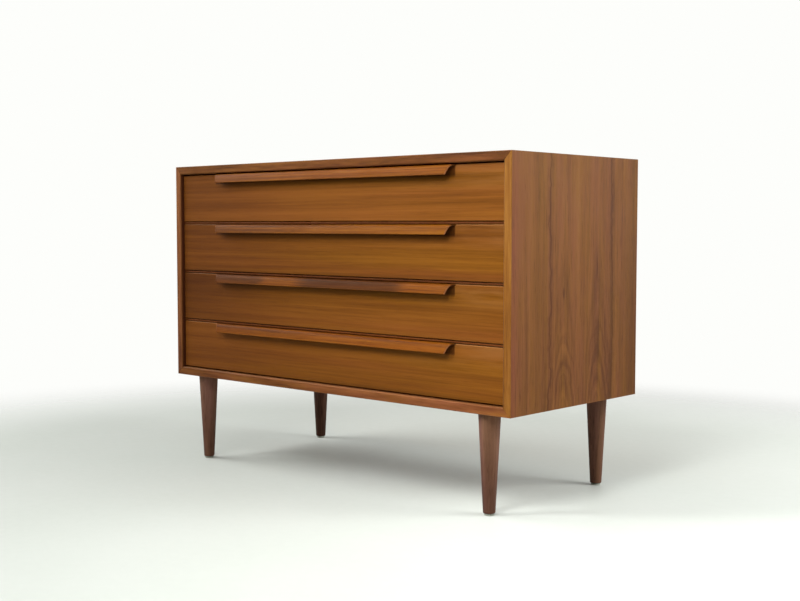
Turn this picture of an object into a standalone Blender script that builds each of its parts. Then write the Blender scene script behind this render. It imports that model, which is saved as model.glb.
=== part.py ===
"""A low chest of four full-width drawers on four turned legs.

Metres, +Z up. The origin is on the floor under the middle of the whole object.
+X runs along the front to the right of someone facing it, and the front faces -Y.
Touching pieces keep a glue-line gap, so that no two solids share a face.
"""

import math

import bmesh
import bpy
from mathutils import Vector

# Overall
WIDTH = 1.050
DEPTH = 0.460
CASE_HEIGHT = 0.520
LEG_HEIGHT = 0.209
GLUE = 0.0003

# Mitred case boards
BOARD = 0.0195
OUTER_EASE = 0.0015
INNER_EASE = 0.0035
REBATE_DEPTH = 0.012
REBATE_WIDTH = 0.008
BACK_THICK = 0.006

# Drawer fronts and the thin rails between them
DRAWERS = 4
RECESS = 0.008
FRONT_THICK = 0.018
FRONT_EASE = 0.0012
SIDE_CLEAR = 0.002
TOP_CLEAR = 0.003
BOTTOM_CLEAR = 0.0025
FRONT_GAP = 0.007
RAIL_THICK = 0.0036
RAIL_DEPTH = 0.040
RAIL_SETBACK = 0.0015

# Drawer boxes
BOX_CLEAR = 0.003
BOX_SIDE_THICK = 0.012
BOX_SIDE_HEIGHT = 0.094
BOX_SIDE_LENGTH = 0.390
BOX_SIDE_RISE = 0.006
BOX_TOP_ROUND = 0.003
BOX_BACK_DROP = 0.010
BOTTOM_THICK = 0.004
BOTTOM_RISE = 0.008
BOTTOM_HOUSING = 0.005
BOTTOM_PLAY = 0.0006

# Side runners, and the grooves that ride on them
RUNNER_REACH = 0.009
RUNNER_HEIGHT = 0.014
RUNNER_RISE = 0.044
RUNNER_CHAMFER = 0.001
RUNNER_FRONT_STOP = 0.0325
RUNNER_LENGTH = 0.375
GROOVE_DEPTH = 0.0068
GROOVE_PLAY = 0.0005

# Lip handles, measured outward from the drawer front's face and down from its top edge.
# The reach and the drop are those of the curved outer face, before its rounded tip.
LIP_HALF_LENGTH = 0.3785
LIP_REACH = 0.0164
LIP_DROP = 0.0197
LIP_ROOT = 0.002
LIP_ROOT_THICK = 0.0030
LIP_TIP_THICK = 0.0021
LIP_END_SLANT = 1.06
LIP_SHELF = 0.0095
LIP_TURN = (0.0112, -0.0030)
LIP_STEPS = 12
LIP_TIP_BULGE = 0.35
TONGUE = 0.008

# Legs and what holds them
LEG_TOP_RADIUS = 0.0232
LEG_FOOT_RADIUS = 0.0128
LEG_EASE = 0.0012
LEG_INSET_X = 0.078
LEG_INSET_Y = 0.0355
GLIDE_RADIUS = 0.0105
GLIDE_HEIGHT = 0.0045
GLIDE_EASE = 0.0012
INSERT_RADIUS = 0.0062
INSERT_LENGTH = 0.0160
STUD_RADIUS = 0.0040
STUD_IN_LEG = 0.034
STUD_IN_INSERT = 0.0150
LEG_SIDES = 40
SMALL_SIDES = 20

# Derived places
TOP = LEG_HEIGHT + CASE_HEIGHT
LIP_PROUD = LIP_REACH - RECESS
FRONT = (LIP_PROUD - DEPTH) / 2
BACK = FRONT + DEPTH
FACE = FRONT + RECESS
FRONT_REAR = FACE + FRONT_THICK
OPENING_HALF = WIDTH / 2 - BOARD
OPENING_HEIGHT = CASE_HEIGHT - 2 * BOARD
FRONTS_HEIGHT = OPENING_HEIGHT - TOP_CLEAR - BOTTOM_CLEAR - (DRAWERS - 1) * FRONT_GAP
FRONT_HEIGHT = FRONTS_HEIGHT / DRAWERS
PITCH = FRONT_HEIGHT + FRONT_GAP
BOX_HALF = OPENING_HALF - BOX_CLEAR
BOX_FRONT = FRONT_REAR + GLUE
BOX_REAR = BOX_FRONT + BOX_SIDE_LENGTH
REBATE_SHOULDER = BACK - REBATE_DEPTH
MITRE_GAP = GLUE * math.sqrt(2)

# Finishes: linear colour, roughness, metallic
FINISHES = {
    "teak_case": ((0.23, 0.115, 0.052), 0.42, 0.0),
    "teak_front": ((0.25, 0.105, 0.036), 0.40, 0.0),
    "teak_handle": ((0.33, 0.130, 0.040), 0.38, 0.0),
    "dark_leg": ((0.11, 0.060, 0.036), 0.45, 0.0),
    "drawer_wood": ((0.55, 0.36, 0.19), 0.60, 0.0),
    "plywood": ((0.46, 0.30, 0.17), 0.70, 0.0),
    "steel": ((0.55, 0.55, 0.56), 0.30, 1.0),
    "brass": ((0.60, 0.44, 0.18), 0.35, 1.0),
    "glide": ((0.42, 0.44, 0.38), 0.55, 0.0),
}


def clear_scene():
    for obj in list(bpy.data.objects):
        bpy.data.objects.remove(obj, do_unlink=True)


def finish(name):
    """The material of this name, made on its first use."""
    if name in bpy.data.materials:
        return bpy.data.materials[name]
    colour, roughness, metallic = FINISHES[name]
    material = bpy.data.materials.new(name)
    material.use_nodes = True
    shader = material.node_tree.nodes["Principled BSDF"]
    shader.inputs["Base Color"].default_value = (*colour, 1.0)
    shader.inputs["Roughness"].default_value = roughness
    shader.inputs["Metallic"].default_value = metallic
    return material


def put(name, mesh_builder, material_name, smooth=False):
    """A new object from a bmesh, with its faces pointing out."""
    bmesh.ops.recalc_face_normals(mesh_builder, faces=mesh_builder.faces)
    mesh = bpy.data.meshes.new(name)
    mesh_builder.to_mesh(mesh)
    mesh_builder.free()
    if smooth:
        mesh.shade_smooth()
        mesh.set_sharp_from_angle(angle=math.radians(35))
    mesh.materials.append(finish(material_name))
    obj = bpy.data.objects.new(name, mesh)
    bpy.context.scene.collection.objects.link(obj)
    return obj


def arc(centre, radius, start, end, steps):
    """Points of a circular arc, angles in degrees."""
    points = []
    for step in range(steps + 1):
        angle = math.radians(start + (end - start) * step / steps)
        points.append((centre[0] + radius * math.cos(angle), centre[1] + radius * math.sin(angle)))
    return points


def prism(name, outline, ends, place, material_name, smooth=False):
    """A solid of constant section. ends(p) gives the two stations where section point p
    starts and stops, and place(p, station) gives that point in the world."""
    shape = bmesh.new()
    first = [shape.verts.new(place(point, ends(point)[0])) for point in outline]
    last = [shape.verts.new(place(point, ends(point)[1])) for point in outline]
    shape.faces.new(first)
    shape.faces.new(list(reversed(last)))
    for i in range(len(outline)):
        j = (i + 1) % len(outline)
        shape.faces.new((first[j], first[i], last[i], last[j]))
    return put(name, shape, material_name, smooth)


def box(name, low, high, material_name, chamfer=0.0):
    shape = bmesh.new()
    bmesh.ops.create_cube(shape, size=1.0)
    low, high = Vector(low), Vector(high)
    size, middle = high - low, (high + low) / 2
    for vert in shape.verts:
        vert.co = Vector(a * b for a, b in zip(vert.co, size)) + middle
    if chamfer:
        bmesh.ops.bevel(
            shape, geom=shape.edges, offset=chamfer, segments=1, affect="EDGES", clamp_overlap=True
        )
    return put(name, shape, material_name)


def lathe(name, profile, centre, sides, material_name):
    """A turned solid about a vertical axis. profile is a closed chain of (radius, height)."""
    shape = bmesh.new()
    verts = [shape.verts.new((radius, 0, height)) for radius, height in profile]
    edges = [shape.edges.new((a, b)) for a, b in zip(verts, verts[1:] + verts[:1])]
    on_axis = [e for e in edges if all(v.co.x == 0 for v in e.verts)]
    for edge in on_axis:
        edges.remove(edge)
        shape.edges.remove(edge)
    bmesh.ops.spin(
        shape,
        geom=verts + edges,
        cent=(0, 0, 0),
        axis=(0, 0, 1),
        angle=2 * math.pi,
        steps=sides,
        use_merge=True,
    )
    bmesh.ops.remove_doubles(shape, verts=shape.verts, dist=0.000005)
    bmesh.ops.translate(shape, verts=shape.verts, vec=centre)
    return put(name, shape, material_name, smooth=True)


def cut(obj, cutter):
    """Cuts one object from another, and leaves the cutter as a hidden guide."""
    cutter.hide_render = True
    cutter.display_type = "WIRE"
    modifier = obj.modifiers.new("cut_" + cutter.name, "BOOLEAN")
    modifier.operation = "DIFFERENCE"
    modifier.solver = "EXACT"
    modifier.object = cutter


def board_outline():
    """Section of a case board: (depth, distance in from the outer face). The front edge is
    eased, more on the side of the opening, and the rear inner corner is rebated."""
    outline = [(BACK, 0.0)]
    outline += arc((FRONT + OUTER_EASE, OUTER_EASE), OUTER_EASE, 270, 180, 3)
    outline += arc((FRONT + INNER_EASE, BOARD - INNER_EASE), INNER_EASE, 180, 90, 5)
    outline += [(REBATE_SHOULDER, BOARD)]
    outline += [(REBATE_SHOULDER, BOARD - REBATE_WIDTH)]
    outline += [(BACK, BOARD - REBATE_WIDTH)]
    return outline


def make_case():
    outline = board_outline()
    for name, sign in (("side_panel_left", -1), ("side_panel_right", 1)):
        prism(
            name,
            outline,
            lambda p: (LEG_HEIGHT + p[1], TOP - p[1]),
            lambda p, z, s=sign: (s * (WIDTH / 2 - p[1]), p[0], z),
            "teak_case",
            smooth=True,
        )
    reach = WIDTH / 2 - MITRE_GAP
    for name, outer, inward in (("top_panel", TOP, -1), ("bottom_panel", LEG_HEIGHT, 1)):
        prism(
            name,
            outline,
            lambda p: (p[1] - reach, reach - p[1]),
            lambda p, x, z=outer, s=inward: (x, p[0], z + s * p[1]),
            "teak_case",
            smooth=True,
        )
    back_half = OPENING_HALF + REBATE_WIDTH - GLUE
    box(
        "back_panel",
        (-back_half, REBATE_SHOULDER + GLUE, LEG_HEIGHT + BOARD - REBATE_WIDTH + GLUE),
        (back_half, REBATE_SHOULDER + GLUE + BACK_THICK, TOP - BOARD + REBATE_WIDTH - GLUE),
        "plywood",
    )


def front_top(index):
    """Height of the top edge of a drawer front; drawer 1 is the uppermost."""
    return TOP - BOARD - TOP_CLEAR - (index - 1) * PITCH


def make_rails():
    half = OPENING_HALF - GLUE
    for index in range(1, DRAWERS):
        middle = front_top(index) - FRONT_HEIGHT - FRONT_GAP / 2
        box(
            f"divider_rail_{index}",
            (-half, FACE + RAIL_SETBACK, middle - RAIL_THICK / 2),
            (half, FACE + RAIL_SETBACK + RAIL_DEPTH, middle + RAIL_THICK / 2),
            "teak_case",
            chamfer=0.0004,
        )


def side_bottom(index):
    return front_top(index) - FRONT_HEIGHT + BOX_SIDE_RISE


def make_runners(index):
    low = side_bottom(index) + RUNNER_RISE
    start = FRONT_REAR + RUNNER_FRONT_STOP
    for name, sign in (("left", -1), ("right", 1)):
        near = sign * (OPENING_HALF - GLUE)
        far = sign * (OPENING_HALF - RUNNER_REACH)
        box(
            f"runner_{index}_{name}",
            (min(near, far), start, low),
            (max(near, far), start + RUNNER_LENGTH, low + RUNNER_HEIGHT),
            "drawer_wood",
            chamfer=RUNNER_CHAMFER,
        )


def box_side_outline():
    """Section of a drawer side: (distance in from its outer face, height above its lower
    edge), with the runner groove outside and the housing for the bottom inside."""
    groove_low = RUNNER_RISE - GROOVE_PLAY
    groove_high = RUNNER_RISE + RUNNER_HEIGHT + GROOVE_PLAY
    housing_low = BOTTOM_RISE
    housing_high = BOTTOM_RISE + BOTTOM_THICK + BOTTOM_PLAY
    top = BOX_SIDE_HEIGHT
    outline = [(0, 0), (0, groove_low), (GROOVE_DEPTH, groove_low)]
    outline += [(GROOVE_DEPTH, groove_high), (0, groove_high)]
    outline += arc((BOX_TOP_ROUND, top - BOX_TOP_ROUND), BOX_TOP_ROUND, 180, 90, 4)
    inner = BOX_SIDE_THICK - BOX_TOP_ROUND
    outline += arc((inner, top - BOX_TOP_ROUND), BOX_TOP_ROUND, 90, 0, 4)
    outline += [(BOX_SIDE_THICK, housing_high), (BOX_SIDE_THICK - BOTTOM_HOUSING, housing_high)]
    outline += [(BOX_SIDE_THICK - BOTTOM_HOUSING, housing_low), (BOX_SIDE_THICK, housing_low)]
    outline += [(BOX_SIDE_THICK, 0)]
    return outline


def lip_outer_curve():
    """The handle's outer face, as (reach, height): level at the root, then turning down to
    the tip."""
    corners = (
        (LIP_ROOT, 0.0),
        (LIP_SHELF, 0.0),
        LIP_TURN,
        (LIP_REACH, -LIP_DROP),
    )
    points = []
    for step in range(LIP_STEPS + 1):
        t = step / LIP_STEPS
        weights = ((1 - t) ** 3, 3 * t * (1 - t) ** 2, 3 * t * t * (1 - t), t**3)
        reach = sum(w * c[0] for w, c in zip(weights, corners))
        height = sum(w * c[1] for w, c in zip(weights, corners))
        points.append(Vector((reach, height)))
    return points


def lip_outline():
    """Section of a lip handle: a tongue let into the drawer front's top edge, then a thin
    curved lip that leaves a finger gap behind it."""
    outer = lip_outer_curve()
    inner = []
    for i, point in enumerate(outer):
        ahead = outer[min(i + 1, LIP_STEPS)] - outer[max(i - 1, 0)]
        normal = Vector((ahead.y, -ahead.x)).normalized()
        thick = LIP_ROOT_THICK + (LIP_TIP_THICK - LIP_ROOT_THICK) * i / LIP_STEPS
        inner.append(point + normal * thick)
    tip_middle = (outer[-1] + inner[-1]) / 2
    along = (outer[-1] - outer[-2]).normalized()
    tip = tip_middle + along * LIP_TIP_THICK * LIP_TIP_BULGE
    outline = [Vector((-TONGUE + GLUE, 0.0))]
    outline += outer + [tip] + list(reversed(inner))
    outline += [Vector((-TONGUE + GLUE, -LIP_ROOT_THICK))]
    return outline


def lip_ends(play=0.0):
    """Both ends of a handle are sawn off on a slant, so that the lip is shorter at its tip."""

    def ends(point):
        half = LIP_HALF_LENGTH + play - LIP_END_SLANT * point[0]
        return -half, half

    return ends


def make_handle(index, top):
    prism(
        f"drawer_{index}_handle",
        lip_outline(),
        lip_ends(),
        lambda p, x: (x, FACE - p.x, top + p.y),
        "teak_handle",
        smooth=True,
    )


def make_front(index, top):
    half = OPENING_HALF - SIDE_CLEAR
    front = box(
        f"drawer_{index}_front",
        (-half, FACE, top - FRONT_HEIGHT),
        (half, FRONT_REAR, top),
        "teak_front",
        chamfer=FRONT_EASE,
    )
    low, high = -LIP_ROOT_THICK - GLUE, FRONT_THICK
    rebate = prism(
        f"cutter_rebate_{index}",
        [(-TONGUE, low), (FRONT_THICK, low), (FRONT_THICK, high), (-TONGUE, high)],
        lip_ends(play=2 * GLUE),
        lambda p, x: (x, FACE - p[0], top + p[1]),
        "teak_front",
    )
    cut(front, rebate)


def make_drawer(index):
    top = front_top(index)
    make_front(index, top)
    make_handle(index, top)
    low = side_bottom(index)
    outline = box_side_outline()
    for name, sign in (("left", -1), ("right", 1)):
        prism(
            f"drawer_{index}_side_{name}",
            outline,
            lambda p: (BOX_FRONT, BOX_REAR),
            lambda p, y, s=sign: (s * (BOX_HALF - p[0]), y, low + p[1]),
            "drawer_wood",
        )
    inner_half = BOX_HALF - BOX_SIDE_THICK
    housed_half = inner_half + BOTTOM_HOUSING - GLUE
    bottom_low = low + BOTTOM_RISE + BOTTOM_PLAY / 2
    box(
        f"drawer_{index}_bottom",
        (-housed_half, BOX_FRONT, bottom_low),
        (housed_half, BOX_REAR, bottom_low + BOTTOM_THICK),
        "plywood",
    )
    box(
        f"drawer_{index}_back",
        (-inner_half + GLUE, BOX_REAR - BOX_SIDE_THICK, bottom_low + BOTTOM_THICK + GLUE),
        (inner_half - GLUE, BOX_REAR, low + BOX_SIDE_HEIGHT - BOX_BACK_DROP),
        "drawer_wood",
        chamfer=0.0008,
    )


def leg_profile():
    """A tapered leg with a blind hole for its stud."""
    top = LEG_HEIGHT - GLUE
    foot = GLIDE_HEIGHT + GLUE
    hole = STUD_RADIUS + GLUE
    profile = [(0.0, foot)]
    profile += arc((LEG_FOOT_RADIUS - LEG_EASE, foot + LEG_EASE), LEG_EASE, 270, 360, 3)
    profile += arc((LEG_TOP_RADIUS - LEG_EASE, top - LEG_EASE), LEG_EASE, 0, 90, 3)
    profile += [(hole, top), (hole, top - STUD_IN_LEG - GLUE)]
    profile += [(0.0, top - STUD_IN_LEG - 2 * GLUE)]
    return profile


def glide_profile():
    profile = arc((GLIDE_RADIUS - GLIDE_EASE, GLIDE_EASE), GLIDE_EASE, 270, 360, 3)
    return [(0.0, 0.0)] + profile + [(GLIDE_RADIUS, GLIDE_HEIGHT), (0.0, GLIDE_HEIGHT)]


def make_leg(name, x, y):
    centre = (x, y, 0.0)
    lathe(f"leg_{name}", leg_profile(), centre, LEG_SIDES, "dark_leg")
    lathe(f"glide_{name}", glide_profile(), centre, LEG_SIDES, "glide")
    insert_top = LEG_HEIGHT + INSERT_LENGTH
    insert_low = LEG_HEIGHT + GLUE
    bore = STUD_RADIUS + GLUE
    insert = [(bore, insert_low), (INSERT_RADIUS, insert_low)]
    insert += [(INSERT_RADIUS, insert_top), (bore, insert_top)]
    lathe(f"insert_{name}", insert, centre, SMALL_SIDES, "brass")
    stud_low = LEG_HEIGHT - GLUE - STUD_IN_LEG
    stud_top = LEG_HEIGHT + STUD_IN_INSERT
    nose = STUD_RADIUS * 0.75
    stud = [(0.0, stud_low), (nose, stud_low), (STUD_RADIUS, stud_low + STUD_RADIUS - nose)]
    stud += [(STUD_RADIUS, stud_top - STUD_RADIUS + nose), (nose, stud_top), (0.0, stud_top)]
    lathe(f"stud_{name}", stud, centre, SMALL_SIDES, "steel")
    hole_radius = INSERT_RADIUS + GLUE
    hole = [(0.0, LEG_HEIGHT - BOARD), (hole_radius, LEG_HEIGHT - BOARD)]
    hole += [(hole_radius, insert_top + GLUE), (0.0, insert_top + GLUE)]
    cutter = lathe(f"cutter_hole_{name}", hole, centre, SMALL_SIDES, "brass")
    cut(bpy.data.objects["bottom_panel"], cutter)


def make_legs():
    x = WIDTH / 2 - LEG_INSET_X
    rows = (("front", FRONT + LEG_INSET_Y), ("back", BACK - LEG_INSET_Y))
    for row, y in rows:
        for side, sign in (("left", -1), ("right", 1)):
            make_leg(f"{row}_{side}", sign * x, y)


def main():
    clear_scene()
    make_case()
    make_rails()
    make_legs()
    for index in range(1, DRAWERS + 1):
        make_runners(index)
        make_drawer(index)


main()
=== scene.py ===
import math

import bmesh
import bpy
from mathutils import Euler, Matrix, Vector


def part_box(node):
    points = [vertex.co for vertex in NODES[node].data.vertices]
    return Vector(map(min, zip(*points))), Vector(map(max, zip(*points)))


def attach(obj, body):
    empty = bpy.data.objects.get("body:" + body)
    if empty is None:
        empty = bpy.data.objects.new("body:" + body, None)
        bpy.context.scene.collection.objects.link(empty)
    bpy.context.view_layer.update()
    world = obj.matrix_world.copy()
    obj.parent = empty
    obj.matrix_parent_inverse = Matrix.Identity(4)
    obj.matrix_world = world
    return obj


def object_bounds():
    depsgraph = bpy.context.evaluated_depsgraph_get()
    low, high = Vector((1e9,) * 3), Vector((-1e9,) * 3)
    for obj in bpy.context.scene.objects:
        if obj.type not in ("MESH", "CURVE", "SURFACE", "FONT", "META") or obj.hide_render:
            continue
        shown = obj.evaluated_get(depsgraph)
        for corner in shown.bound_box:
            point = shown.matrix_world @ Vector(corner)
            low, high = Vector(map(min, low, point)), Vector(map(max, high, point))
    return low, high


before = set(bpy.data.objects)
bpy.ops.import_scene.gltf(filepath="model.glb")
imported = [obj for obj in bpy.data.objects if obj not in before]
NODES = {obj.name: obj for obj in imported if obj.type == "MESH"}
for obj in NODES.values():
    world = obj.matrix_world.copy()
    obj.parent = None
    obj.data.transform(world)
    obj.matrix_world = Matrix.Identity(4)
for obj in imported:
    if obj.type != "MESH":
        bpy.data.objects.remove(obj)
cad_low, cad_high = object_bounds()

DRAWERS = (1, 2, 3, 4)
LEGS = ("front_left", "front_right", "back_left", "back_right")


def linear(red, green, blue):
    """A display colour, 0 to 255 a channel, as the linear colour that a shader takes."""
    out = []
    for value in (red, green, blue):
        part = value / 255
        out.append(part / 12.92 if part <= 0.04045 else ((part + 0.055) / 1.055) ** 2.4)
    return (*out, 1.0)


class Graph:
    """One material's node tree, with a short call for each kind of node used here."""

    def __init__(self, name):
        self.material = bpy.data.materials.new(name)
        self.material.use_nodes = True
        self.tree = self.material.node_tree
        self.tree.nodes.clear()

    def feed(self, socket, value):
        if isinstance(value, bpy.types.NodeSocket):
            self.tree.links.new(value, socket)
        elif value is not None:
            socket.default_value = value

    def add(self, kind, values=None, **settings):
        node = self.tree.nodes.new("ShaderNode" + kind)
        for key, value in settings.items():
            setattr(node, key, value)
        for key, value in (values or {}).items():
            self.feed(node.inputs[key], value)
        return node

    def math(self, operation, first, second=None, third=None, clamp=False):
        node = self.add("Math", {0: first, 1: second, 2: third}, operation=operation, use_clamp=clamp)
        return node.outputs[0]

    def vector(self, x, y, z):
        return self.add("CombineXYZ", {0: x, 1: y, 2: z}).outputs[0]

    def place(self):
        """The point in the row frame at rest, as three numbers."""
        coords = self.add("TexCoord").outputs["Object"]
        return self.add("SeparateXYZ", {0: coords}).outputs

    def noise(self, point, scales, offset, detail=2.0, roughness=0.5):
        """Noise from 0 to 1 that is stretched by its own scale along each axis."""
        spots = [self.math("MULTIPLY_ADD", p, s, o) for p, s, o in zip(point, scales, offset)]
        values = {
            "Vector": self.vector(*spots),
            "Scale": 1.0,
            "Detail": detail,
            "Roughness": roughness,
        }
        return self.add("TexNoise", values).outputs["Fac"]

    def grained(self, point, grain, layer, offset):
        """Noise drawn out along the grain. A layer is its scale along the grain, its scale
        across the grain, its detail and its roughness."""
        along, across, detail, roughness = layer
        scales = [along if axis == grain else across for axis in "xyz"]
        return self.noise(point, scales, offset, detail, roughness)

    def swing(self, value, width, middle=0.0):
        """A value from 0 to 1, spread over width about middle."""
        return self.math("MULTIPLY_ADD", value, width, middle - width / 2)

    def step(self, value, low, high, start=0.0, end=1.0):
        """A smooth step from start at low to end at high."""
        node = self.add(
            "MapRange",
            {"Value": value, "From Min": low, "From Max": high, "To Min": start, "To Max": end},
            interpolation_type="SMOOTHSTEP",
        )
        return node.outputs["Result"]

    def hump(self, value, middle, half_width):
        """1 where value is middle, falling smoothly to 0 at half_width from it."""
        away = self.math("ABSOLUTE", self.math("SUBTRACT", value, middle))
        return self.step(away, 0.0, half_width, 1.0, 0.0)

    def times(self, *factors):
        result = factors[0]
        for factor in factors[1:]:
            result = self.math("MULTIPLY", result, factor)
        return result

    def plus(self, *terms):
        result = terms[0]
        for term in terms[1:]:
            result = self.math("ADD", result, term)
        return result

    def ramp(self, factor, stops):
        node = self.add("ValToRGB", {"Fac": factor})
        elements = node.color_ramp.elements
        for index, (place, colour) in enumerate(stops):
            element = elements[index] if index < 2 else elements.new(place)
            element.position = place
            element.color = colour
        return node.outputs["Color"]

    def mix(self, factor, first, second, blend="MIX"):
        node = self.add("Mix", {0: factor, 6: first, 7: second}, data_type="RGBA", blend_type=blend)
        return node.outputs[2]

    def bump(self, height, strength, distance):
        values = {"Height": height, "Strength": strength, "Distance": distance}
        return self.add("Bump", values).outputs["Normal"]

    def shade(self, colour, roughness, normal, **constants):
        """Ends the tree in one Principled shader."""
        shader = self.add("BsdfPrincipled")
        self.feed(shader.inputs["Base Color"], colour)
        self.feed(shader.inputs["Roughness"], roughness)
        self.feed(shader.inputs["Normal"], normal)
        for name, value in constants.items():
            shader.inputs[name.replace("_", " ")].default_value = value
        output = self.add("OutputMaterial")
        self.tree.links.new(shader.outputs[0], output.inputs["Surface"])
        return self.material


def edge_nearness(graph, point, low, high, width):
    """1 on the edges of the box from low to high, falling to 0 at width away from them."""
    gaps = []
    for value, least, most in zip(point, low, high):
        below = graph.math("SUBTRACT", value, least)
        above = graph.math("SUBTRACT", most, value)
        gaps.append(graph.math("MINIMUM", below, above))
    first, second, third = gaps
    smaller = graph.math("MINIMUM", first, second)
    larger = graph.math("MAXIMUM", first, second)
    middle = graph.math("MAXIMUM", smaller, graph.math("MINIMUM", larger, third))
    return graph.step(middle, 0.0, width, 1.0, 0.0)


# ---- Oiled wood

# Displayed colours of each wood in even light: dark streak, middle, light
WOODS = {
    "front": ((70, 36, 9), (100, 57, 13), (125, 75, 23)),
    "handle": ((74, 34, 2), (105, 55, 4), (130, 76, 11)),
    "case": ((71, 39, 18), (104, 64, 30), (124, 81, 41)),
    "rail": ((63, 31, 14), (97, 54, 25), (121, 73, 39)),
    "stile": ((78, 42, 19), (114, 69, 31), (137, 90, 46)),
    "leg": ((46, 25, 17), (83, 55, 40), (113, 81, 62)),
    "pale": ((150, 112, 70), (192, 152, 104), (216, 182, 136)),
    "ply": ((128, 88, 54), (170, 126, 82), (196, 154, 108)),
}
RED_TINT = (1.0, 0.93, 1.22, 1.0)
GOLD_TINT = (1.0, 1.05, 0.72, 1.0)
WARM_SHEEN = (1.0, 0.60, 0.25, 1.0)

# Layers of a wood's figure: scale along the grain, scale across it, detail, roughness
WANDER = (1.3, 7.0, 2.0, 0.5)
BROAD = (0.55, 22.0, 3.0, 0.55)
STREAK = (1.8, 150.0, 4.0, 0.66)
FIBRE = (9.0, 900.0, 3.0, 0.6)
FLECK = (24.0, 420.0, 2.0, 0.5)
PORE = (55.0, 2400.0, 1.0, 0.5)
GOLDEN = (0.7, 26.0, 2.0, 0.5)

# How much of the range from dark to light the broad bands, streaks and fibres take, and
# how much a pore darkens the wood
BROAD_SHARE = 0.90
STREAK_SHARE = 0.70
FIBRE_SHARE = 0.20
PORE_SHARE = 0.22
# Where in their noise the flecks and the pores start and reach their full strength
FLECKED = (0.52, 0.74)
PORED = (0.60, 0.72)
# The share of the flecks' darkness by which the wood between them is lighter, and how deep
# a pore is beside the height of a fibre
FLECK_LIFT = 0.15
PORE_DEPTH = 0.9
# How far from an edge the wood is rubbed, and what being handled, fibres and that rubbing
# change in its roughness
EDGE_WEAR = 0.0030
HANDLED_ROUGH = 0.16
FIBRE_ROUGH = 0.08
WORN_ROUGH = -0.06
# How strongly and how deeply the fibres and pores show in relief
RELIEF = (0.22, 0.0003)

# The seed of each kind of board, to which its own number is added
SEEDS = {
    "divider_rail": 20.0,
    "front": 30.0,
    "handle": 40.0,
    "lipping": 50.0,
    "runner": 90.0,
    "back_panel": 131.0,
    "leg": 140.0,
}


def wood_colour(graph, point, grain, seed, wood, contrast=1.0, figure=None, hue=None, sway=0.05,
                flecks=0.20):
    """The colour of a wood at a point, and the height of its fibres and pores there.
    figure(graph, point, wander) adds to how light it is, and hue(graph, point) to how
    golden."""
    dark, mid, light = (linear(*colour) for colour in WOODS[wood])
    offset = (seed * 3.1, seed * 7.7, seed * 5.3)
    wander = graph.grained(point, grain, WANDER, offset)
    drift = graph.swing(wander, sway)
    swayed = [p if axis == grain else graph.plus(p, drift) for axis, p in zip("xyz", point)]

    broad = graph.grained(swayed, grain, BROAD, offset)
    streak = graph.grained(swayed, grain, STREAK, offset)
    fibre = graph.grained(swayed, grain, FIBRE, offset)
    fleck = graph.step(graph.grained(swayed, grain, FLECK, offset), *FLECKED)
    tone = graph.swing(broad, BROAD_SHARE * contrast, 0.5)
    tone = graph.plus(tone, graph.swing(streak, STREAK_SHARE * contrast))
    if figure:
        tone = graph.plus(tone, figure(graph, point, wander))
    tone = graph.plus(tone, graph.swing(fibre, FIBRE_SHARE))
    short = graph.math("MULTIPLY_ADD", fleck, -flecks, FLECK_LIFT * flecks)
    tone = graph.math("ADD", tone, short, clamp=True)
    colour = graph.ramp(tone, [(0.12, dark), (0.92, light), (0.5, mid)])

    golden = graph.grained(swayed, grain, GOLDEN, (offset[1], offset[2], offset[0]))
    if hue:
        golden = graph.plus(golden, hue(graph, point))
    tint = graph.ramp(golden, [(0.25, RED_TINT), (0.75, GOLD_TINT)])
    colour = graph.mix(1.0, colour, tint, "MULTIPLY")
    pits = graph.step(graph.grained(swayed, grain, PORE, offset), *PORED)
    colour = graph.mix(graph.times(pits, PORE_SHARE), colour, dark)
    return colour, graph.math("MULTIPLY_ADD", pits, -PORE_DEPTH, fibre)


def oiled_wood(name, node, grain, seed, wood, contrast=1.0, figure=None, hue=None, touches=(),
               sway=0.05, flecks=0.20, rough=0.50, wear=0.35, sheen=WARM_SHEEN, specular=0.18):
    """A wood under oil, rubbed lighter along the node's edges. Each touch(graph, point,
    colour) repaints a place on it."""
    graph = Graph(name)
    point = graph.place()
    colour, height = wood_colour(
        graph, point, grain, seed, wood, contrast, figure, hue, sway, flecks
    )
    for touch in touches:
        colour = touch(graph, point, colour)
    low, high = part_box(node)
    rub = graph.noise(point, (60.0, 60.0, 60.0), (seed, 0.0, 0.0), 3.0, 0.6)
    edge = edge_nearness(graph, point, low, high, EDGE_WEAR)
    worn = graph.times(edge, graph.step(rub, 0.30, 0.75, 0.25, 1.0))
    colour = graph.mix(graph.times(worn, wear), colour, linear(*WOODS[wood][2]))
    handled = graph.noise(point, (9.0, 9.0, 9.0), (0.0, seed, 0.0), 3.0)
    rough = graph.swing(handled, HANDLED_ROUGH, rough)
    rough = graph.math("MULTIPLY_ADD", height, FIBRE_ROUGH, rough)
    rough = graph.math("MULTIPLY_ADD", worn, WORN_ROUGH, rough)
    normal = graph.bump(height, *RELIEF)
    return graph.shade(colour, rough, normal, Specular_IOR_Level=specular, Specular_Tint=sheen)


def set_material(node, material):
    obj = NODES[node]
    for slot in obj.material_slots:
        slot.link = "OBJECT"
        slot.material = material


# ---- The case: side panels veneered with two leaves turned like the pages of a book

CASE_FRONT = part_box("top_panel")[0][1]
CASE_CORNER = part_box("bottom_panel")[0]
# The solid wood that faces the boards: its thickness, and the layers of its tone and hue
LIPPING = 0.0019
LIPPING_TONE = (7.0, 90.0, 3.0, 0.6)
LIPPING_HUE = (5.0, 60.0, 3.0, 0.6)
# Tints of the veneer's first strip, then of the painted shade on the faces inside the opening and in
# the gaps
PINK_TINT = (1.02, 0.84, 1.25, 1.0)
REVEAL_SHADE_TINT = (0.42, 0.34, 0.30, 1.0)
GAP_SHADE_TINT = (0.68, 0.48, 0.27, 1.0)
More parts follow.
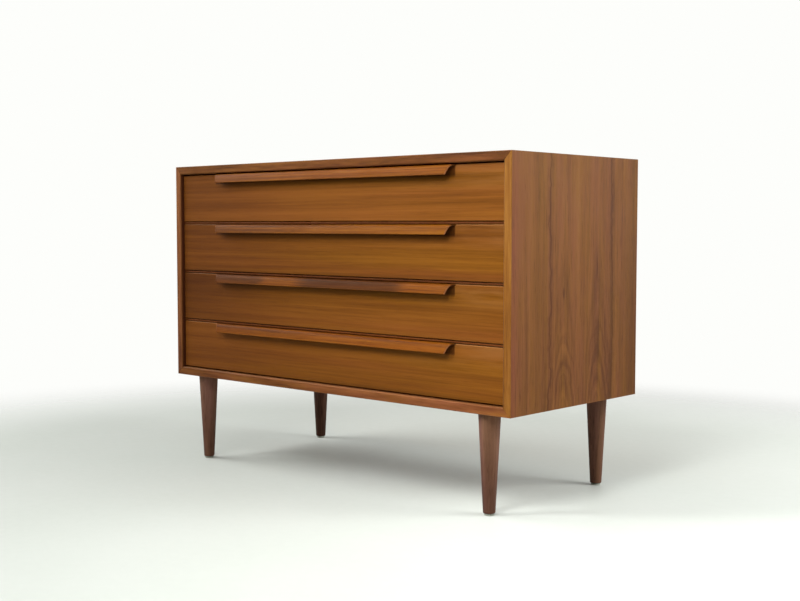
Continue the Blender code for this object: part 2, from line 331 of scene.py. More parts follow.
# How far in from a side's outer face the painted shade of the reveal starts and is full, and its
# strength
REVEAL_SHADE_STEP = (0.0155, 0.0185, 0.0, 0.8)

# Along Y: the seam between the leaves, each leaf's heart and outer streak from it, and the
# width over which its grain sways
LEAF_SEAM = 0.016
LEAF_HEART = 0.062
LEAF_STREAK = 0.114
LEAF_SWAY = 0.034

# Painted light and shade on the veneer: how light it is at its foot and at its top, and the painted
# shade that its rear edge adds to that
VENEER_LIGHT_TONES = (-0.09, 0.04)
REAR_SHADE_TONE = -0.12

# Growth rings about a leaf's heart. At the base height the veneer cuts through the heart
# itself, and over the rise it moves off by the depth, so that the rings arch over.
ARCH_BASE = 0.1865
ARCH_RISE = 0.20
ARCH_DEPTH = 0.062
# Flames between the rings: how fine and strong they are, and how far from the heart they go
FLAME_FINENESS = 125.0
FLAME_STRENGTH = 0.70
FLAME_REACH = 0.085
# Dark growth lines: distance from the heart, half width, strength. Then the width over
# which they bend, and the heights between which they fade, from one strength to another
GROWTH_LINES = ((0.0345, 0.0052, 0.16), (0.0455, 0.0034, 0.10), (0.0240, 0.0030, 0.06))
GROWTH_BEND = 0.022
GROWTH_FADE = (0.33, 0.48, 1.0, 0.25)

# The outer streak: the width over which it wavers, then the half width and tone of its
# two parts
STREAK_WAVER = 0.040
STREAK_SOFT = (0.017, -0.17)
STREAK_THIN = (0.0028, -0.22)

# Darker marks: middle along Y, middle height, half width, half height, strength
LEAF_MARKS = (
    (-0.047, 0.445, 0.0050, 0.016, 0.34),
    (-0.047, 0.420, 0.0025, 0.060, 0.14),
    (0.076, 0.498, 0.0045, 0.044, 0.26),
    (0.080, 0.350, 0.0130, 0.075, 0.20),
    (-0.046, 0.272, 0.0120, 0.040, 0.12),
    (0.140, 0.640, 0.0180, 0.130, 0.20),
    (-0.094, 0.590, 0.0045, 0.110, 0.26),
)


def arches(graph, point, from_heart):
    """Arched flames about a leaf's heart, with dark growth lines that fade as they climb."""
    climb = graph.math("DIVIDE", graph.math("SUBTRACT", point[2], ARCH_BASE), ARCH_RISE)
    depth = graph.times(graph.math("TANH", climb), ARCH_DEPTH)
    squares = graph.math("MULTIPLY_ADD", depth, depth, graph.times(from_heart, from_heart))
    ring = graph.math("SQRT", squares)
    waves = graph.noise((ring, ring, ring), (FLAME_FINENESS, 0.0, 0.0), (3.7, 0.0, 0.0), 3.0, 0.62)
    near = graph.hump(from_heart, 0.0, FLAME_REACH)
    parts = [graph.times(graph.swing(waves, FLAME_STRENGTH), near)]
    bent = graph.noise(point, (0.0, 14.0, 14.0), (0.0, 4.0, 1.0), 3.0, 0.6)
    ring = graph.plus(ring, graph.swing(bent, GROWTH_BEND))
    lowness = graph.step(point[2], *GROWTH_FADE)
    for radius, half_width, strength in GROWTH_LINES:
        parts.append(graph.times(graph.hump(ring, radius, half_width), lowness, -strength))
    return graph.plus(*parts)


def outer_streak(graph, point, from_heart):
    """A soft dark streak with a thin darker line in it, up the outer side of a leaf."""
    wave = graph.noise(point, (0.0, 2.0, 10.0), (0.0, 2.0, 0.0), 4.0, 0.62)
    away = graph.plus(from_heart, LEAF_HEART - LEAF_STREAK, graph.swing(wave, STREAK_WAVER))
    soft_width, soft_tone = STREAK_SOFT
    thin_width, thin_tone = STREAK_THIN
    soft = graph.times(graph.hump(away, 0.0, soft_width), soft_tone)
    thin = graph.times(graph.hump(away, 0.001, thin_width), thin_tone)
    return graph.plus(soft, thin)


def leaf_marks(graph, point, sway):
    """Dark marks, which follow the grain's sway by half."""
    swayed = graph.math("MULTIPLY_ADD", sway, 0.5, point[1])
    marks = []
    for middle, height, half_width, half_height, strength in LEAF_MARKS:
        across = graph.hump(swayed, middle, half_width)
        along = graph.hump(point[2], height, half_height)
        marks.append(graph.times(across, along, -strength))
    return graph.plus(*marks)


def leaf_figure(graph, point, wander):
    """How light the side panels' veneer is, from all of its figure."""
    sway = graph.swing(wander, LEAF_SWAY)
    from_seam = graph.math("ABSOLUTE", graph.math("SUBTRACT", point[1], LEAF_SEAM))
    from_heart = graph.plus(graph.math("SUBTRACT", from_seam, LEAF_HEART), sway)
    return graph.plus(
        arches(graph, point, from_heart),
        # Painted light towards the top, painted shade towards the foot and the rear edge
        graph.step(point[2], CASE_CORNER[2], cad_high[2], *VENEER_LIGHT_TONES),
        graph.step(point[1], 0.0, cad_high[1], 0.0, REAR_SHADE_TONE),
        outer_streak(graph, point, from_heart),
        leaf_marks(graph, point, sway),
    )


def leaf_hue(graph, point):
    """Redder and more golden patches, drawn out along the grain."""
    patchy = graph.noise(point, (0.0, 26.0, 4.0), (0.0, 1.0, 5.0), 3.0, 0.6)
    return graph.swing(patchy, 1.2)


def pink_front_strip(graph, point, colour):
    """The veneer's first strip behind the front edge is a purer red."""
    strip = graph.step(point[1], CASE_FRONT + 0.006, CASE_FRONT + 0.030, 0.8, 0.0)
    return graph.mix(strip, colour, PINK_TINT, "MULTIPLY")


def painted_reveal_shade(graph, point, colour):
    """Painted shade: the faces inside the opening are darkened, as they lie in the shade of the case.
    """
    deep = graph.math("SUBTRACT", cad_high[0], graph.math("ABSOLUTE", point[0]))
    inside = graph.step(deep, *REVEAL_SHADE_STEP)
    return graph.mix(inside, colour, REVEAL_SHADE_TINT, "MULTIPLY")


def painted_gap_shade(graph, point, colour):
    """Painted shade: the divider rails sit deep in the gaps between the fronts, and are darkened all
    over.
    """
    return graph.mix(1.0, colour, GAP_SHADE_TINT, "MULTIPLY")


def lipped(grain, seed, wood, start_tone, end_tone, gold=0.0):
    """A touch that paints a board's front edge as the solid wood that faces it, whose
    tone changes from one end of its grain to the other."""
    axis = "xyz".index(grain)

    def tone(graph, point, wander):
        patchy = graph.grained(point, grain, LIPPING_TONE, (seed, 0.0, 0.0))
        ends = graph.step(point[axis], CASE_CORNER[axis], cad_high[axis], start_tone, end_tone)
        return graph.plus(graph.swing(patchy, 1.4), ends)

    def hue(graph, point):
        patchy = graph.grained(point, grain, LIPPING_HUE, (0.0, seed, 0.0))
        return graph.swing(patchy, 1.6, gold)

    def touch(graph, point, colour):
        seam = CASE_FRONT + LIPPING
        edge = graph.step(point[1], seam - LIPPING / 10, seam + LIPPING / 10, 1.0, 0.0)
        solid, _ = wood_colour(graph, point, grain, seed, wood, 0.8, tone, hue)
        return graph.mix(edge, colour, solid)

    return touch


# Each board of the case: its seed, and its lipping's tone at its two ends. A side panel's row ends
# with how golden its lipping is. On the stiles these hold painted sheen: the left stile lighter
# towards its top, the right stile more golden.
SIDES = {"side_panel_left": (4.0, -0.13, 0.27, -0.4), "side_panel_right": (1.0, -0.04, 0.07, 0.35)}
FLATS = {"top_panel": (11.0, 0.16, -0.14), "bottom_panel": (12.0, -0.10, 0.14)}


def make_case_materials():
    for node, (seed, *tones) in SIDES.items():
        stile = lipped("z", SEEDS["lipping"] + seed, "stile", *tones)
        # The last touch paints shade on the faces inside the opening
        touches = (pink_front_strip, stile, painted_reveal_shade)
        material = oiled_wood(
            "teak_" + node, node, "z", seed, "case", 0.8, figure=leaf_figure, hue=leaf_hue,
            touches=touches,
        )
        set_material(node, material)
    for node, (seed, *tones) in FLATS.items():
        touches = (lipped("x", SEEDS["lipping"] + seed, "rail", *tones),)
        set_material(node, oiled_wood("teak_" + node, node, "x", seed, "case", touches=touches))
    for index in (1, 2, 3):
        node = f"divider_rail_{index}"
        seed = SEEDS["divider_rail"] + index
        # The rails' darkening is painted shade
        set_material(node, oiled_wood("teak_" + node, node, "x", seed, "rail", touches=(painted_gap_shade,)))


# ---- The drawers

FRONT_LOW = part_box("drawer_1_front")[0]
HANDLE_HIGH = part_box("drawer_1_handle")[1]
# How much each end of a lip slants in for each unit that it reaches out, and half the
# lip's length at the face of the front
END_SLANT = 1.06
HANDLE_HALF = HANDLE_HIGH[0] - END_SLANT * (HANDLE_HIGH[1] - FRONT_LOW[1])

# How light each front is at its left end, middle and right end, then how far the ends are
# from the middle, and the layer of the streaks
FRONT_TONES = {
    1: (0.0, 0.16, 0.06),
    2: (-0.10, -0.02, 0.06),
    3: (-0.18, 0.03, 0.04),
    4: (0.02, 0.08, 0.18),
}
FRONT_END = 0.45
FRONT_STREAK = (3.0, 95.0, 4.0, 0.6)

# Bands of hue along each front: share of its height, half width there, start along X, and
# how golden the band is (red where it is below zero)
HUE_BANDS = {
    1: ((0.95, 0.13, 0.10, -0.45), (0.72, 0.18, 0.05, 0.32)),
    2: ((0.36, 0.26, -0.15, 0.42), (0.06, 0.16, -0.10, -0.30)),
    3: ((0.74, 0.26, 0.00, 0.40), (0.10, 0.18, 0.05, -0.22)),
    4: ((0.50, 0.40, 0.05, 0.34), (0.95, 0.12, 0.20, -0.20)),
}
# How far the bands waver, as a share of the height, the length over which a band sets in,
# and how red the left end is
BAND_WAVER = 0.24
BAND_RUN_IN = 0.35
LEFT_RED = -0.36

# Painted shade behind a lip, and a painted highlight along a front's top edge
GRIP_SHADE_TINT = (0.24, 0.17, 0.13, 1.0)
GRIP_SHADE_STRENGTH = 0.85
TOP_EDGE_HIGHLIGHT = linear(178, 122, 74)

# The part of each front that is paler at the top towards the right end, partly faded oil and partly a
# painted sheen: its colour, the share of the height where it starts, how strong it gets, and its
# streaks
FADED_SHEEN_COLOUR = linear(124, 80, 38)
FADED_SHEEN_FROM = 0.4
FADED_SHEEN_STRENGTH = 0.60
FADED_SHEEN_STREAK = (5.0, 45.0, 4.0, 0.6)

# How light each handle is at its left and right end, and how golden it is, then the layers
# of its streaks
HANDLE_TONES = {
    1: (-0.12, -0.12, -0.05),
    2: (-0.16, 0.12, 0.85),
    3: (-0.06, -0.06, -0.05),
    4: (-0.08, 0.04, -0.08),
}
HANDLE_STREAK = (4.0, 330.0, 4.0, 0.66)
HANDLE_HUE = (6.0, 160.0, 3.0, 0.6)
# The sawn ends of the handles, at the lip's free edge and at the front: worn end grain with a painted
# glint, and dark end grain with painted shade
END_GRAIN_WORN_GLINT = linear(140, 88, 54)
END_GRAIN_DARK_AND_SHADE = linear(44, 22, 12)
END_GRAIN_STRENGTH = 0.8
# The heart stripe in handle 3: its tint, the layers of its rippled ends and its streaks,
# and the spans along X over which its faint part ends, its dark part starts and it ends
HEART_TINT = (0.26, 0.21, 0.42, 1.0)
HEART_RIPPLE = (12.0, 300.0, 3.0, 0.6)
HEART_STREAK = (3.0, 500.0, 3.0, 0.6)
FAINT_END = (-0.22, -0.17, 0.55, 0.0)
DARK_START = (-0.10, -0.04, 0.0, 1.0)
DARK_END = (0.21, 0.27, 1.0, 0.0)


def front_tone(index):
    """The leaf of veneer on each front is lighter or darker along its length."""
    left, middle, right = FRONT_TONES[index]

    def figure(graph, point, wander):
        near = graph.step(point[0], -FRONT_END, 0.0, left, middle)
        far = graph.step(point[0], 0.0, FRONT_END, 0.0, right - middle)
        streaks = graph.grained(point, "x", FRONT_STREAK, (0.0, 3.0 * index, 0.0))
        clearness = graph.step(point[0], -0.4, 0.3, 0.1, 0.8)
        return graph.plus(near, far, graph.times(graph.swing(streaks, 0.8), clearness))

    return figure


def front_hue(index):
    """Fronts are redder towards their left ends, with golden and red bands to the right."""
    low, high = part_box(f"drawer_{index}_front")

    def hue(graph, point):
        share = graph.math("DIVIDE", graph.math("SUBTRACT", point[2], low[2]), high[2] - low[2])
        waver = graph.noise(point, (3.0, 0.0, 3.0), (0.0, 0.0, 9.0 * index))
        share = graph.plus(share, graph.swing(waver, BAND_WAVER))
        total = graph.step(point[0], -0.5, 0.0, LEFT_RED, 0.0)
        for middle, half_width, start, gold in HUE_BANDS[index]:
            run = graph.step(point[0], start, start + BAND_RUN_IN)
            total = graph.plus(total, graph.times(graph.hump(share, middle, half_width), run, gold))
        return total

    return hue


def painted_grip_shade(index):
    """Painted shade: a front is darkened behind its lip, where the lip's shadow falls."""
    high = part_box(f"drawer_{index}_handle")[1]

    def touch(graph, point, colour):
        away = graph.math("ABSOLUTE", point[0])
        along = graph.step(away, HANDLE_HALF - 0.002, HANDLE_HALF + 0.001, 1.0, 0.0)
        up = graph.step(point[2], high[2] - 0.027, high[2] - 0.019)
        outer = graph.step(point[1], FRONT_LOW[1] + 0.0002, FRONT_LOW[1] + 0.002, 1.0, 0.0)
        # The share of painted shade, behind the lip and out to its sawn end
        grip_shade_share = graph.times(along, up, outer, GRIP_SHADE_STRENGTH)
        return graph.mix(grip_shade_share, colour, GRIP_SHADE_TINT, "MULTIPLY")

    return touch


def painted_top_edge_highlight(index):
    """Painted highlight: the top edge of a front is paler, more towards its right end, where the
    rounded arris catches the light.
    """
    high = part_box(f"drawer_{index}_front")[1]

    def touch(graph, point, colour):
        edge = graph.step(point[2], high[2] - 0.0016, high[2] - 0.0008)
        # The share of painted highlight, growing towards the right end
        rubbed = graph.times(edge, graph.step(point[0], -0.3, 0.4, 0.08, 0.34))
        return graph.mix(rubbed, colour, TOP_EDGE_HIGHLIGHT)

    return touch


def faded_and_sheen_top(index):
    """The upper part of a front is paler towards its right end: partly dried oil, partly a painted
    sheen.
    """
    low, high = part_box(f"drawer_{index}_front")
    start = low[2] + FADED_SHEEN_FROM * (high[2] - low[2])

    def touch(graph, point, colour):
        patchy = graph.grained(point, "x", FADED_SHEEN_STREAK, (4.0 * index, 0.0, 0.0))
        up = graph.step(point[2], start, high[2] - 0.010)
        along = graph.step(point[0], 0.10, FRONT_END, 0.0, FADED_SHEEN_STRENGTH)
        # Painted sheen mixed with the faded oil, over the upper right of the front
        return graph.mix(graph.times(up, along, graph.step(patchy, 0.35, 0.65)), colour, FADED_SHEEN_COLOUR)

    return touch


def handle_streaks(index):
    """The tone and hue of one handle: long streaks, redder in some and golden in others."""
    left, right, gold = HANDLE_TONES[index]

    def figure(graph, point, wander):
        thin = graph.grained(point, "x", HANDLE_STREAK, (0.0, 7.0 * index, 0.0))
        return graph.plus(graph.swing(thin, 1.3), graph.step(point[0], -0.35, 0.35, left, right))

    def hue(graph, point):
        thin = graph.grained(point, "x", HANDLE_HUE, (5.0 * index, 0.0, 0.0))
        return graph.swing(thin, 1.4, gold)

    return figure, hue


def end_grain_with_painted_light(graph, point, colour):
    """Both sawn ends of a handle: end grain, worn paler with a painted glint towards the lip's free
    edge, and darker with painted shade at the front.
    """
    away = graph.math("ABSOLUTE", point[0])
    reach = graph.math("SUBTRACT", FRONT_LOW[1], point[1])
    end = graph.math("MULTIPLY_ADD", reach, -END_SLANT, HANDLE_HALF)
    inside = graph.math("SUBTRACT", end, away)
    sawn = graph.step(inside, 0.0001, 0.0004, 1.0, 0.0)
    outer = graph.step(reach, 0.004, 0.009)
    grain = graph.mix(outer, END_GRAIN_DARK_AND_SHADE, END_GRAIN_WORN_GLINT)
    return graph.mix(graph.times(sawn, END_GRAIN_STRENGTH), colour, grain)


def striped_handle(graph, point, colour):
    """Handle 3 was cut across a dark heart stripe: faint in its left part, then clear in
    one orange patch, then dark, and clear again at its right end."""
    ripple = graph.grained(point, "x", HEART_RIPPLE, (5.0, 0.0, 0.0))
    along = graph.plus(point[0], graph.swing(ripple, 0.10))
    faint = graph.step(along, *FAINT_END)
    dark = graph.times(graph.step(along, *DARK_START), graph.step(along, *DARK_END))
    streaks = graph.grained(point, "x", HEART_STREAK, (0.0, 0.0, 2.0))
    dark = graph.times(dark, graph.step(streaks, 0.25, 0.6, 1.0, 0.72))
    return graph.mix(graph.math("MAXIMUM", dark, faint), colour, HEART_TINT, "MULTIPLY")


def front_wood(node, index):
    return oiled_wood(
        "teak_" + node, node, "x", SEEDS["front"] + index, "front", 0.95,
        figure=front_tone(index), hue=front_hue(index),
        # These touches paint a sheen with the faded oil at the top right, a highlight along the top
        # edge and shade behind the lip
        touches=(faded_and_sheen_top(index), painted_top_edge_highlight(index), painted_grip_shade(index)),
        sway=0.012, flecks=0.09, specular=0.13,
    )


def handle_wood(node, index):
    figure, hue = handle_streaks(index)
    return oiled_wood(
        "teak_" + node, node, "x", SEEDS["handle"] + index, "handle", figure=figure, hue=hue,
        touches=(striped_handle, end_grain_with_painted_light) if index == 3 else (end_grain_with_painted_light,),
        sway=0.008, flecks=0.16, specular=0.08,
    )


# The other boards of a drawer: grain, wood and seed, which steps on from drawer to drawer
BOX_BOARDS = {
    "side_left": ("y", "pale", 73.0),
    "side_right": ("y", "pale", 74.0),
    "back": ("x", "pale", 66.0),
    "bottom": ("x", "ply", 70.0),
}
BOX_SEED_STEP = 5


def make_drawer_materials():
    for index in DRAWERS:
        node = f"drawer_{index}_front"
        set_material(node, front_wood(node, index))
        node = f"drawer_{index}_handle"
        set_material(node, handle_wood(node, index))
        for part, (grain, wood, seed) in BOX_BOARDS.items():
            node = f"drawer_{index}_{part}"
            material = oiled_wood(
                "wood_" + node, node, grain, seed + BOX_SEED_STEP * index, wood, 0.7,
                flecks=0.07, rough=0.6, wear=0.2, specular=0.3,
            )
            set_material(node, material)
        for side in ("left", "right"):
            node = f"runner_{index}_{side}"
            seed = SEEDS["runner"] + index
            material = oiled_wood(
                "wood_" + node, node, "y", seed, "pale", 0.7, flecks=0.07, rough=0.55
            )
            set_material(node, material)


# ---- The back, the legs and the fittings

# Painted light and shade on each leg: how light it is at its foot and at its top, lighter upwards and
# darker for the back legs. Then how golden they all are (they are red) and the colour of their dull
# shine
LEG_LIGHT_TONES = {
    "front_left": (0.0, 0.42),
    "front_right": (-0.12, 0.34),
    "back_left": (-0.30, -0.20),
    "back_right": (0.0, 0.10),
}
LEG_HUE = -0.14
LEG_SHEEN = (1.0, 0.8, 0.6, 1.0)

# Each metal's slot, displayed colour and roughness, then how dark a stain on it is
STEEL = ("steel", (150, 150, 152), 0.34)
BRASS = ("brass", (190, 150, 84), 0.38)
STAINED = 0.72
NYLON_DARK = linear(118, 120, 108)
NYLON_LIGHT = linear(168, 171, 156)


def painted_leg_light(place):
    """Painted light and shade: a leg is lighter towards its top, and the back legs darker, as in the
    shade under the case.
    """
    foot, top = LEG_LIGHT_TONES[place]
    low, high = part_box("leg_" + place)

    def figure(graph, point, wander):
        return graph.step(point[2], low[2], high[2], foot, top)

    return figure


def leg_hue(graph, point):
    """The stain is a little redder than the wood, all over."""
    return LEG_HUE


def metal(name, colour, rough):
    """Turned metal, a little stained. Pieces of one metal share one material."""
    if name in bpy.data.materials:
        return bpy.data.materials[name]
    graph = Graph(name)
    point = graph.place()
    stain = graph.noise(point, (300.0, 300.0, 300.0), (0.0, 0.0, 0.0), 3.0)
    dull = linear(*(STAINED * channel for channel in colour))
    tone = graph.ramp(stain, [(0.35, dull), (0.65, linear(*colour))])
    gloss = graph.math("MULTIPLY_ADD", stain, 0.25, rough - 0.12)
    normal = graph.bump(stain, 0.15, 0.0001)
    return graph.shade(tone, gloss, normal, Metallic=1.0)


def plastic():
    """The grey nylon of a glide, scuffed where it slides."""
    name = "nylon"
    if name in bpy.data.materials:
        return bpy.data.materials[name]
    graph = Graph(name)
    point = graph.place()
    scuff = graph.noise(point, (420.0, 420.0, 420.0), (0.0, 0.0, 0.0), 4.0, 0.65)
    tone = graph.ramp(scuff, [(0.3, NYLON_DARK), (0.7, NYLON_LIGHT)])
    gloss = graph.math("MULTIPLY_ADD", scuff, 0.25, 0.45)
    return graph.shade(tone, gloss, graph.bump(scuff, 0.2, 0.0002))


def make_other_materials():
    node = "back_panel"
    material = oiled_wood(
        "ply_back", node, "z", SEEDS[node], "ply", 0.9, flecks=0.07, rough=0.62, specular=0.3
    )
    set_material(node, material)
    for index, place in enumerate(LEGS):
        node = "leg_" + place
        material = oiled_wood(
            # The figure paints the leg's light and shade
            "stained_" + node, node, "z", SEEDS["leg"] + index, "leg", 0.9, figure=painted_leg_light(place),
            hue=leg_hue, rough=0.58, wear=0.2, sheen=LEG_SHEEN, specular=0.16,
        )
        set_material(node, material)
        set_material("glide_" + place, plastic())
        set_material("stud_" + place, metal(*STEEL))
        set_material("insert_" + place, metal(*BRASS))


# ---- Surfaces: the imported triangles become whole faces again, with rounded edges

# How wide the rounding is on each kind of piece. The others keep their edges.
EDGE_ROUNDS = {
    "side_panel": 0.00020,
    "top_panel": 0.00020,
    "bottom_panel": 0.00020,
    "back_panel": 0.00030,
    "divider_rail": 0.00015,
    "runner": 0.00040,
    "drawer_front": 0.00045,
    "drawer_handle": 0.00035,
    "drawer_side": 0.00040,
    "drawer_back": 0.00030,
    "drawer_bottom": 0.00020,
}
WELD_REACH = 0.00001
# Faces that meet at less than the first angle become one, and edges above the second are
# rounded
FLAT = math.radians(0.5)
SHARP = math.radians(35)


def smooth_surface(obj, edge_round):
    weld = obj.modifiers.new("weld", "WELD")
    weld.merge_threshold = WELD_REACH
    whole = obj.modifiers.new("whole_faces", "DECIMATE")
    whole.decimate_type = "DISSOLVE"
    whole.angle_limit = FLAT
    if edge_round:
        bevel = obj.modifiers.new("rounded_edges", "BEVEL")
        bevel.width = edge_round
        bevel.segments = 2
        bevel.limit_method = "ANGLE"
        bevel.angle_limit = SHARP
    obj.modifiers.new("even_shading", "WEIGHTED_NORMAL").keep_sharp = False


def smooth_nodes():
    for name, obj in NODES.items():
        kind = "_".join(part for part in name.split("_") if not part.isdigit())
        widths = [width for start, width in EDGE_ROUNDS.items() if kind.startswith(start)]
        smooth_surface(obj, widths[0] if widths else 0.0)


# ---- The screws that hold the back panel in its rebate

SCREW_RADIUS = 0.0027
SCREW_DOME = 0.0009
SCREW_SIDES = 28
DOME_RINGS = 5
DOME_WELD = 0.000002
# Half the slot's width, the height of its floor, and the floor's share of the radius
SLOT_HALF = 0.00036
SLOT_FLOOR = 0.0002
SLOT_FLOOR_SHARE = 0.96
SLOT_CUT = 0.000001
# How far in from the panel's edge the screws stand, how deep they are sunk, how far each
# is turned on from the one before, and how many there are in a row and up a side
SCREW_INSET = 0.0042
SCREW_SUNK = 0.00005
SCREW_TURN = 2.4
SCREWS_ALONG = 7
SCREWS_UP = 3


def dome(radius, height):
    """A closed dome about the Y axis, with its flat bottom at the origin."""
    shape = bmesh.new()
    chain = [shape.verts.new((0.0, 0.0, 0.0))]
    for ring in range(DOME_RINGS + 1):
        angle = math.pi / 2 * ring / DOME_RINGS
        out = radius * math.cos(angle) if ring < DOME_RINGS else 0.0
        chain.append(shape.verts.new((out, height * math.sin(angle), 0.0)))
    edges = [shape.edges.new(pair) for pair in zip(chain, chain[1:])]
    bmesh.ops.spin(
        shape, geom=chain + edges, cent=(0, 0, 0), axis=(0, 1, 0), angle=2 * math.pi,
        steps=SCREW_SIDES, use_merge=True,
    )
    bmesh.ops.remove_doubles(shape, verts=shape.verts, dist=DOME_WELD)
    return shape


def join(whole, shape):
    """Moves a shape into the whole, with its faces looking outwards."""
    bmesh.ops.recalc_face_normals(shape, faces=shape.faces)
    part = bpy.data.meshes.new("screw_part")
    shape.to_mesh(part)
    shape.free()
    whole.from_mesh(part)
    bpy.data.meshes.remove(part)


def screw_mesh():
    """A round screw head seen from +Y, with a sawn slot along X."""
    whole = bmesh.new()
    for side in (-1, 1):
        half = dome(SCREW_RADIUS, SCREW_DOME)
        bmesh.ops.bisect_plane(
            half, geom=half.verts[:] + half.edges[:] + half.faces[:], dist=SLOT_CUT,
            plane_co=(0, 0, side * SLOT_HALF), plane_no=(0, 0, side), clear_inner=True,
        )
        bmesh.ops.holes_fill(half, edges=[edge for edge in half.edges if edge.is_boundary])
        join(whole, half)
    join(whole, dome(SCREW_RADIUS * SLOT_FLOOR_SHARE, SLOT_FLOOR))
    mesh = bpy.data.meshes.new("screw_head")
    whole.to_mesh(mesh)
    whole.free()
    mesh.shade_smooth()
    mesh.set_sharp_from_angle(angle=SHARP)
    mesh.materials.append(metal(*BRASS))
    return mesh


def make_back_screws():
    low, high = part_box("back_panel")
    left, right = low[0] + SCREW_INSET, high[0] - SCREW_INSET
    bottom, top = low[2] + SCREW_INSET, high[2] - SCREW_INSET
    places = []
    for step in range(SCREWS_ALONG):
        x = left + (right - left) * step / (SCREWS_ALONG - 1)
        places += [(x, bottom), (x, top)]
    for step in range(1, SCREWS_UP + 1):
        z = bottom + (top - bottom) * step / (SCREWS_UP + 1)
        places += [(left, z), (right, z)]
    mesh = screw_mesh()
    for count, (x, z) in enumerate(places, 1):
        screw = bpy.data.objects.new(f"back_screw_{count:02d}", mesh)
        bpy.context.scene.collection.objects.link(screw)
        screw.location = (x, high[1] - SCREW_SUNK, z)
        screw.rotation_euler = (0.0, SCREW_TURN * count, 0.0)
        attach(screw, "carcass")


# ---- Camera and studio

# The camera's place, and its turn about X, Y and Z in degrees
CAMERA_PLACE = (1.9257, -2.0811, 0.5859)
CAMERA_TURN = (86.376, -0.021, 42.338)
CAMERA_SENSOR = 36.0
CAMERA_LENS = 54.0

# Each light: its place, the point it looks at, its width and height, its power and its
# spread in degrees
LIGHTS = {
    "key": ((-1.5, -2.6, 2.6), (1.3, -0.2, 0.4), (0.8, 1.6), 15.2, 56.0),
    "top": ((0.9, -2.2, 2.4), (0.5, -0.2, 0.2), (1.6, 1.4), 31.9, 180.0),
    "corner": ((0.9, -2.2, 2.5), (1.1, -0.2, 0.5), (1.0, 1.2), 8.7, 60.0),
    "side": ((2.4, 1.3, 1.3), (0.5, 0.0, 0.4), (1.4, 1.4), 50.7, 180.0),
    "floor_left": ((-2.2, -1.0, 2.0), (-0.9, -0.6, 0.0), (1.5, 1.5), 33.0, 120.0),
    "floor_right": ((2.7, 0.6, 2.2), (1.3, -0.5, 0.0), (1.5, 1.5), 18.0, 110.0),
    "back": ((0.0, 1.3, 0.7), (0.2, 0.0, 0.1), (2.6, 1.0), 9.0, 180.0),
}
# Colour and strength of the light from all around, and of the backdrop that is seen
AMBIENT = ((1.0, 1.0, 0.98, 1.0), 0.30)
BACKDROP = ((0.985, 0.99, 0.965, 1.0), 1.0)

# The floor, which turns clear between two distances from its middle
FLOOR_RADIUS = 5.0
FLOOR_SIDES = 96
FLOOR_MIDDLE = (0.2, -0.25)
FLOOR_FADE_START = 1.2
FLOOR_FADE_END = 2.2
FLOOR_DARK = linear(181, 186, 179)
FLOOR_LIGHT = linear(187, 191, 185)


def make_camera():
    camera = bpy.data.objects.new("camera", bpy.data.cameras.new("camera"))
    bpy.context.scene.collection.objects.link(camera)
    camera.data.sensor_width = CAMERA_SENSOR
    camera.data.lens = CAMERA_LENS
    camera.data.clip_start = 0.05
    camera.data.clip_end = 50.0
    camera.location = CAMERA_PLACE
    camera.rotation_euler = Euler([math.radians(angle) for angle in CAMERA_TURN])
    bpy.context.scene.camera = camera


def softbox(name, place, target, size, power, spread):
    data = bpy.data.lights.new(name, "AREA")
    data.shape = "RECTANGLE"
    data.size, data.size_y = size
    data.energy = power
    data.spread = math.radians(spread)
    lamp = bpy.data.objects.new(name, data)
    bpy.context.scene.collection.objects.link(lamp)
    lamp.location = place
    lamp.rotation_euler = (Vector(target) - Vector(place)).to_track_quat("-Z", "Y").to_euler()
    lamp.visible_camera = False


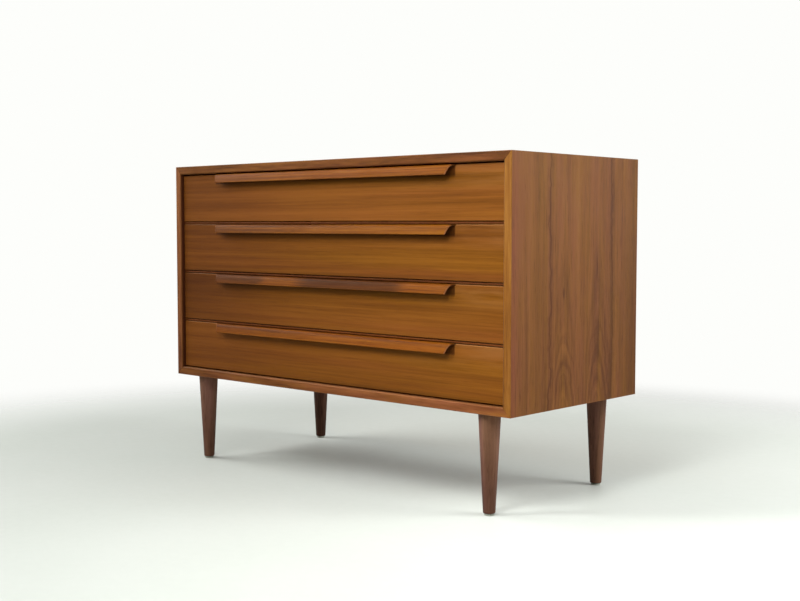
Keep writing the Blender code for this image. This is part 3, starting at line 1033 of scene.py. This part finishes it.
def make_world():
    """A pale backdrop that the camera sees, and a dimmer light from all around."""
    world = bpy.data.worlds.new("studio")
    bpy.context.scene.world = world
    world.use_nodes = True
    tree = world.node_tree
    tree.nodes.clear()
    path = tree.nodes.new("ShaderNodeLightPath")
    choose = tree.nodes.new("ShaderNodeMixShader")
    tree.links.new(path.outputs["Is Camera Ray"], choose.inputs[0])
    for index, (colour, strength) in enumerate((AMBIENT, BACKDROP), 1):
        background = tree.nodes.new("ShaderNodeBackground")
        background.inputs["Color"].default_value = colour
        background.inputs["Strength"].default_value = strength
        tree.links.new(background.outputs[0], choose.inputs[index])
    output = tree.nodes.new("ShaderNodeOutputWorld")
    tree.links.new(choose.outputs[0], output.inputs["Surface"])


def floor_paint():
    """Worn grey paint that turns clear beyond the fade."""
    graph = Graph("painted_floor")
    point = graph.place()
    patch = graph.noise(point, (1.3, 1.3, 1.3), (0.0, 0.0, 0.0), 4.0)
    speck = graph.noise(point, (45.0, 45.0, 45.0), (0.0, 0.0, 0.0), 3.0)
    colour = graph.ramp(patch, [(0.3, FLOOR_DARK), (0.7, FLOOR_LIGHT)])
    rough = graph.math("MULTIPLY_ADD", speck, 0.2, 0.45)
    shader = graph.add("BsdfPrincipled", {"Base Color": colour, "Roughness": rough})
    shader.inputs["Specular IOR Level"].default_value = 0.2
    clear = graph.add("BsdfTransparent")
    aside = [graph.math("SUBTRACT", point[axis], FLOOR_MIDDLE[axis]) for axis in (0, 1)]
    across = graph.times(aside[0], aside[0])
    distance = graph.math("SQRT", graph.math("MULTIPLY_ADD", aside[1], aside[1], across))
    fade = graph.step(distance, FLOOR_FADE_START, FLOOR_FADE_END)
    blend = graph.add("MixShader", {0: fade, 1: shader.outputs[0], 2: clear.outputs[0]})
    output = graph.add("OutputMaterial")
    graph.tree.links.new(blend.outputs[0], output.inputs["Surface"])
    return graph.material


def make_floor():
    """A round floor that fades into the backdrop."""
    mesh = bpy.data.meshes.new("floor")
    shape = bmesh.new()
    bmesh.ops.create_circle(shape, cap_ends=True, radius=FLOOR_RADIUS, segments=FLOOR_SIDES)
    shape.to_mesh(mesh)
    shape.free()
    mesh.materials.append(floor_paint())
    floor = bpy.data.objects.new("floor", mesh)
    bpy.context.scene.collection.objects.link(floor)


def make_studio():
    scene = bpy.context.scene
    scene.view_settings.view_transform = "Standard"
    scene.view_settings.look = "None"
    make_world()
    make_floor()
    for name, settings in LIGHTS.items():
        softbox(name, *settings)


make_camera()
make_case_materials()
make_drawer_materials()
make_other_materials()
smooth_nodes()
make_back_screws()
make_studio()
